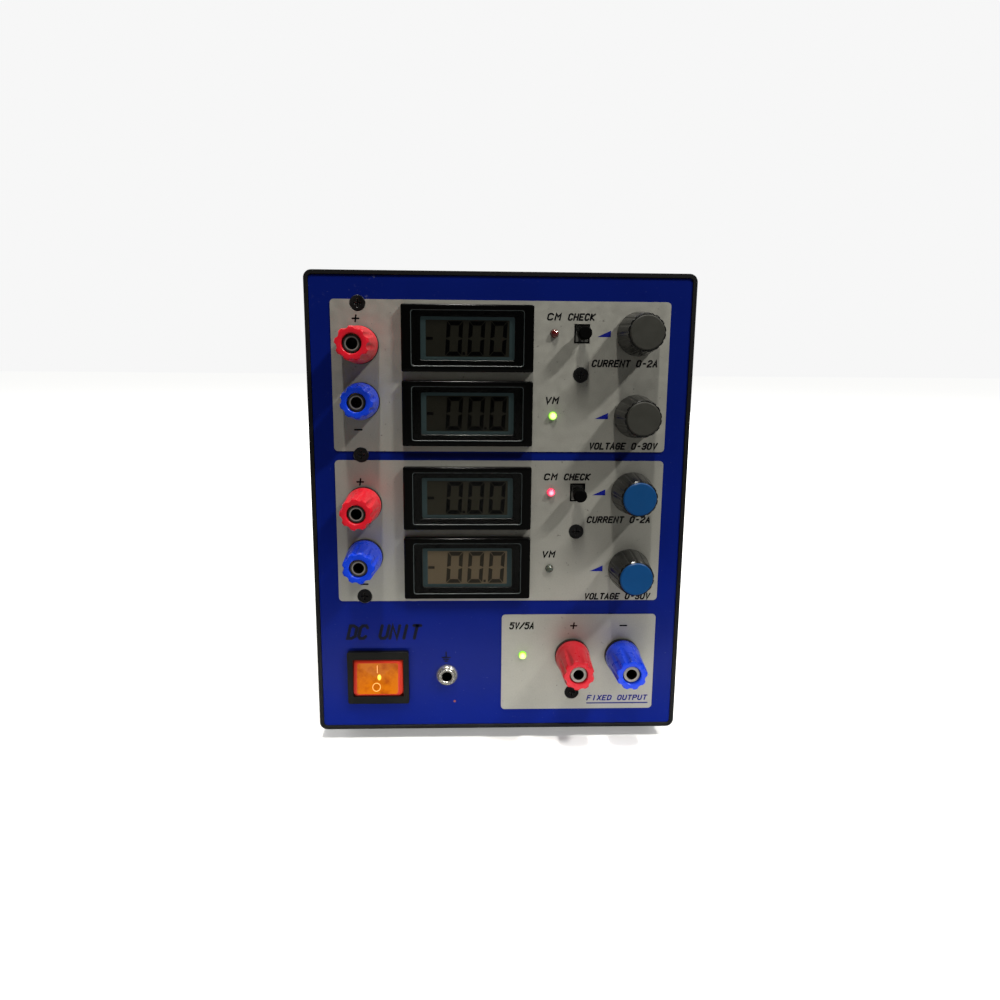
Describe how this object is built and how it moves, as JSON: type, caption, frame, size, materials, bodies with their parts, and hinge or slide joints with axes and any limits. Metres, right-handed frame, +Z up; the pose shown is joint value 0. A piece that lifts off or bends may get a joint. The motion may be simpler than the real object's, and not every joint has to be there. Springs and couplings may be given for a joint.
{
  "type": "bench power supply",
  "caption": "Upright bench power supply with two adjustable outputs and a fixed one, panel meters, knobs, screw-down binding posts and a lit rocker switch.",
  "frame": {"origin": "middle of the overall footprint, on the bench plane under the feet", "axes": "+X to the right seen from the front, +Y into the cabinet towards the heatsink, +Z up"},
  "size_m": [0.146, 0.2708, 0.184],
  "materials": {
    "black_enamel": "fine textured black enamel",
    "blue_enamel": "satin ultramarine enamel",
    "legend_foil": "fine-grained warm silver plate",
    "black_screw": "blackened steel",
    "rubber": "matte",
    "black_gloss": "glossy black moulding",
    "window": "clear tinted window",
    "lcd": "grey liquid-crystal cell",
    "circuit_board": "green solder mask",
    "zinc": "zinc plated",
    "grey_plastic": "matte grey moulding",
    "nickel": "nickel plate",
    "brass": "turned brass",
    "red_lens": "diffused red epoxy",
    "green_lens": "diffused green epoxy",
    "amber_lens": "translucent amber",
    "copper_winding": "wound copper under clear tape",
    "black_sleeve": "shrink sleeve",
    "black_anodised": "black anodised extrusion",
    "black_epoxy": "moulded epoxy",
    "black_moulding": "matte black moulding",
    "nylon": "natural nylon",
    "insulation": "flexible wire insulation",
    "post_red": "glossy red",
    "post_blue": "glossy blue",
    "knob_grey": "satin dark grey",
    "knob_blue": "satin blue"
  },
  "bodies": {
    "cabinet": {"top_cover": "black_enamel", "bottom_pan": "black_enamel", "front_panel": "blue_enamel", "rear_panel": "black_enamel", "legend_plates": "legend_foil", "front_screws": "black_screw", "pan_screws": "black_screw", "rubber_feet": "rubber", "meter_bezels": "black_gloss", "meter_windows": "window", "meter_lcds": "lcd", "meter_boards": "circuit_board", "potentiometers": "zinc", "panel_nuts": "zinc", "check_switches": "grey_plastic", "rocker_frame": "black_moulding", "post_studs": "nickel", "post_insulators": "black_moulding", "earth_socket": "nickel", "red_leds": "red_lens", "green_leds": "green_lens", "front_board": "circuit_board", "board_spacers": "nylon", "transformer": "copper_winding", "transformer_clamp": "zinc", "power_board": "circuit_board", "capacitors": "black_sleeve", "heatsink": "black_anodised", "power_transistors": "black_epoxy", "bridge_rectifiers": "black_epoxy", "mains_inlet": "black_moulding", "wiring": "insulation"},
    "knob_1_body": {"knob_1": "black_moulding", "knob_cap_1": "knob_grey", "pot_shaft_1": "zinc"},
    "knob_2_body": {"knob_2": "black_moulding", "knob_cap_2": "knob_grey", "pot_shaft_2": "zinc"},
    "knob_3_body": {"knob_3": "black_moulding", "knob_cap_3": "knob_blue", "pot_shaft_3": "zinc"},
    "knob_4_body": {"knob_4": "black_moulding", "knob_cap_4": "knob_blue", "pot_shaft_4": "zinc"},
    "post_1_insert_body": {"post_insert_1": "brass"},
    "post_1_cap_body": {"post_cap_1": "post_red"},
    "post_2_insert_body": {"post_insert_2": "brass"},
    "post_2_cap_body": {"post_cap_2": "post_blue"},
    "post_3_insert_body": {"post_insert_3": "brass"},
    "post_3_cap_body": {"post_cap_3": "post_red"},
    "post_4_insert_body": {"post_insert_4": "brass"},
    "post_4_cap_body": {"post_cap_4": "post_blue"},
    "post_5_insert_body": {"post_insert_5": "brass"},
    "post_5_cap_body": {"post_cap_5": "post_red"},
    "post_6_insert_body": {"post_insert_6": "brass"},
    "post_6_cap_body": {"post_cap_6": "post_blue"},
    "check_button_1_body": {"check_button_1": "black_moulding"},
    "check_button_2_body": {"check_button_2": "black_moulding"},
    "rocker_body": {"rocker": "amber_lens"},
    "fuse_drawer_body": {"fuse_drawer": "black_moulding"}
  },
  "joints": [
    {"name": "knob_1_turn", "type": "hinge", "parent": "cabinet", "child": "knob_1_body", "pos_m": [0.05, -0.11682, 0.1604], "axis": [0, 1, 0], "range_deg": [0, 300]},
    {"name": "knob_2_turn", "type": "hinge", "parent": "cabinet", "child": "knob_2_body", "pos_m": [0.05, -0.11682, 0.1304], "axis": [0, 1, 0], "range_deg": [0, 300]},
    {"name": "knob_3_turn", "type": "hinge", "parent": "cabinet", "child": "knob_3_body", "pos_m": [0.05, -0.11682, 0.1014], "axis": [0, 1, 0], "range_deg": [0, 300]},
    {"name": "knob_4_turn", "type": "hinge", "parent": "cabinet", "child": "knob_4_body", "pos_m": [0.05, -0.11682, 0.0714], "axis": [0, 1, 0], "range_deg": [0, 300]},
    {"name": "post_1_travel", "type": "slide", "parent": "cabinet", "child": "post_1_insert_body", "axis": [0, -1, 0], "range_m": [0, 0.004]},
    {"name": "post_1_turn", "type": "hinge", "parent": "post_1_insert_body", "child": "post_1_cap_body", "pos_m": [-0.0514, -0.11682, 0.1557], "axis": [0, -1, 0], "range_deg": [0, 1440]},
    {"name": "post_2_travel", "type": "slide", "parent": "cabinet", "child": "post_2_insert_body", "axis": [0, -1, 0], "range_m": [0, 0.004]},
    {"name": "post_2_turn", "type": "hinge", "parent": "post_2_insert_body", "child": "post_2_cap_body", "pos_m": [-0.0514, -0.11682, 0.1355], "axis": [0, -1, 0], "range_deg": [0, 1440]},
    {"name": "post_3_travel", "type": "slide", "parent": "cabinet", "child": "post_3_insert_body", "axis": [0, -1, 0], "range_m": [0, 0.004]},
    {"name": "post_3_turn", "type": "hinge", "parent": "post_3_insert_body", "child": "post_3_cap_body", "pos_m": [-0.0514, -0.11682, 0.0967], "axis": [0, -1, 0], "range_deg": [0, 1440]},
    {"name": "post_4_travel", "type": "slide", "parent": "cabinet", "child": "post_4_insert_body", "axis": [0, -1, 0], "range_m": [0, 0.004]},
    {"name": "post_4_turn", "type": "hinge", "parent": "post_4_insert_body", "child": "post_4_cap_body", "pos_m": [-0.0514, -0.11682, 0.0765], "axis": [0, -1, 0], "range_deg": [0, 1440]},
    {"name": "post_5_travel", "type": "slide", "parent": "cabinet", "child": "post_5_insert_body", "axis": [0, -1, 0], "range_m": [0, 0.004]},
    {"name": "post_5_turn", "type": "hinge", "parent": "post_5_insert_body", "child": "post_5_cap_body", "pos_m": [0.029, -0.11682, 0.0358], "axis": [0, -1, 0], "range_deg": [0, 1440]},
    {"name": "post_6_travel", "type": "slide", "parent": "cabinet", "child": "post_6_insert_body", "axis": [0, -1, 0], "range_m": [0, 0.004]},
    {"name": "post_6_turn", "type": "hinge", "parent": "post_6_insert_body", "child": "post_6_cap_body", "pos_m": [0.0488, -0.11682, 0.0358], "axis": [0, -1, 0], "range_deg": [0, 1440]},
    {"name": "check_1_press", "type": "slide", "parent": "cabinet", "child": "check_button_1_body", "axis": [0, 1, 0], "range_m": [0, 0.0025]},
    {"name": "check_2_press", "type": "slide", "parent": "cabinet", "child": "check_button_2_body", "axis": [0, 1, 0], "range_m": [0, 0.0025]},
    {"name": "rocker_tilt", "type": "hinge", "parent": "cabinet", "child": "rocker_body", "pos_m": [-0.0473, -0.11622, 0.0273], "axis": [1, 0, 0], "range_deg": [0, 20]},
    {"name": "fuse_drawer_slide", "type": "slide", "parent": "cabinet", "child": "fuse_drawer_body", "axis": [0, 1, 0], "range_m": [0, 0.018]}
  ],
  "couplings": [
    {"joint": "post_1_turn", "follows": "post_1_travel", "rad_per_m": 6283.2},
    {"joint": "post_2_turn", "follows": "post_2_travel", "rad_per_m": 6283.2},
    {"joint": "post_3_turn", "follows": "post_3_travel", "rad_per_m": 6283.2},
    {"joint": "post_4_turn", "follows": "post_4_travel", "rad_per_m": 6283.2},
    {"joint": "post_5_turn", "follows": "post_5_travel", "rad_per_m": 6283.2},
    {"joint": "post_6_turn", "follows": "post_6_travel", "rad_per_m": 6283.2}
  ]
}
